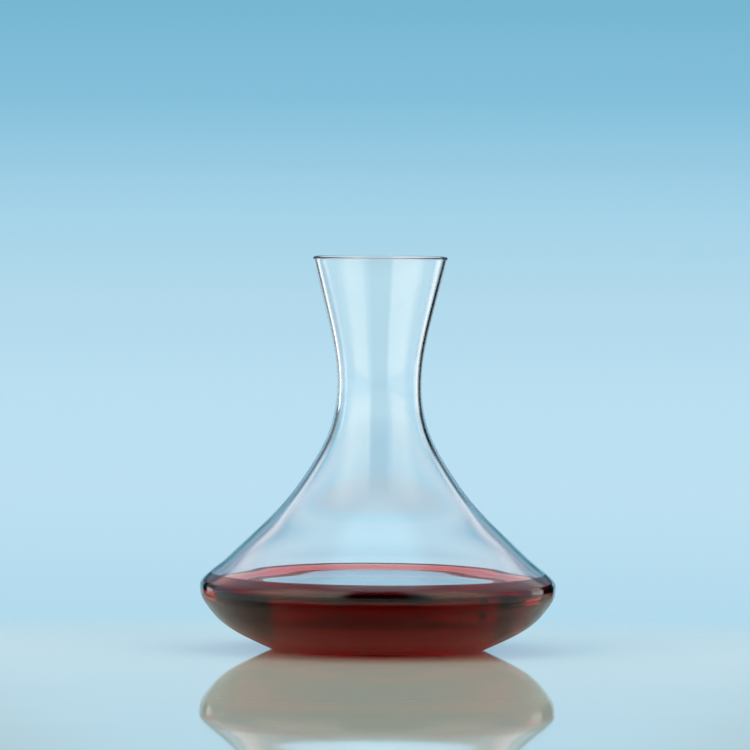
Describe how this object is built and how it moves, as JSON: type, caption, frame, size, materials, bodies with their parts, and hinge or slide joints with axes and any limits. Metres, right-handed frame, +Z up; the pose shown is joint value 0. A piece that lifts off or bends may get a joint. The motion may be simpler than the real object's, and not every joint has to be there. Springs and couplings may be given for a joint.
{
  "type": "wine decanter",
  "caption": "Wide-based clear crystal wine decanter: flared mouth, narrow throat, sloping shoulders and a low round bowl holding red wine to its widest point.",
  "frame": {"origin": "centre of the foot, on the plane the decanter stands on", "axes": "+Z up along the decanter's axis of revolution; +X and +Y are any two level directions, since the body is round"},
  "size_m": [0.1978, 0.1978, 0.218],
  "materials": {
    "crystal": "clear colourless crystal, fire-polished",
    "wine": "deep ruby red wine, clear, still surface"
  },
  "bodies": {
    "root": {"glass_vessel": "crystal", "red_wine": "wine"}
  },
  "joints": []
}
